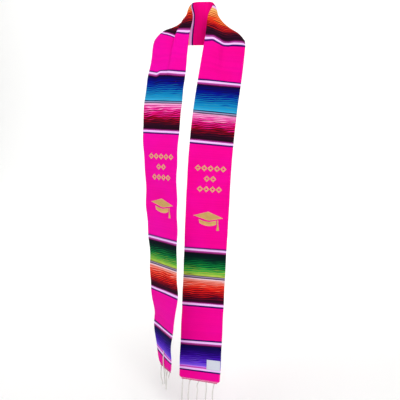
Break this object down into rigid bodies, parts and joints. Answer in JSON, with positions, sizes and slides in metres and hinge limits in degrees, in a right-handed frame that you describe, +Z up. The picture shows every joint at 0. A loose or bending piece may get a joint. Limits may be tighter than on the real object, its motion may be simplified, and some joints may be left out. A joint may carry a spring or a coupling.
{
  "type": "graduation stole",
  "caption": "Bright striped woven graduation stole hung round the neck, with gold cap motifs, a blank label and off-white fringe strings.",
  "frame": {"origin": "inner face of the cloth at the back of the neck, half way up the strip, where the stole hangs", "axes": "+Z up, -Y towards the front of the wearer, +X towards the panel with the label"},
  "size_m": [0.2565, 0.2686, 1.0171],
  "materials": {
    "cloth": "matte striped weft-faced weave",
    "string": "matte twisted cord",
    "label": "satin woven ribbon",
    "gold": "silky embroidery thread"
  },
  "bodies": {
    "root": {"stole_cloth": "cloth", "fringe_left": "string", "fringe_right": "string", "label": "label", "ornament_row_1_left": "gold", "ornament_row_2_left": "gold", "ornament_row_3_left": "gold", "ornament_row_1_right": "gold", "ornament_row_2_right": "gold", "ornament_row_3_right": "gold", "cap_board_left": "gold", "cap_crown_left": "gold", "cap_tassel_left": "gold", "cap_board_right": "gold", "cap_crown_right": "gold", "cap_tassel_right": "gold"}
  },
  "joints": []
}
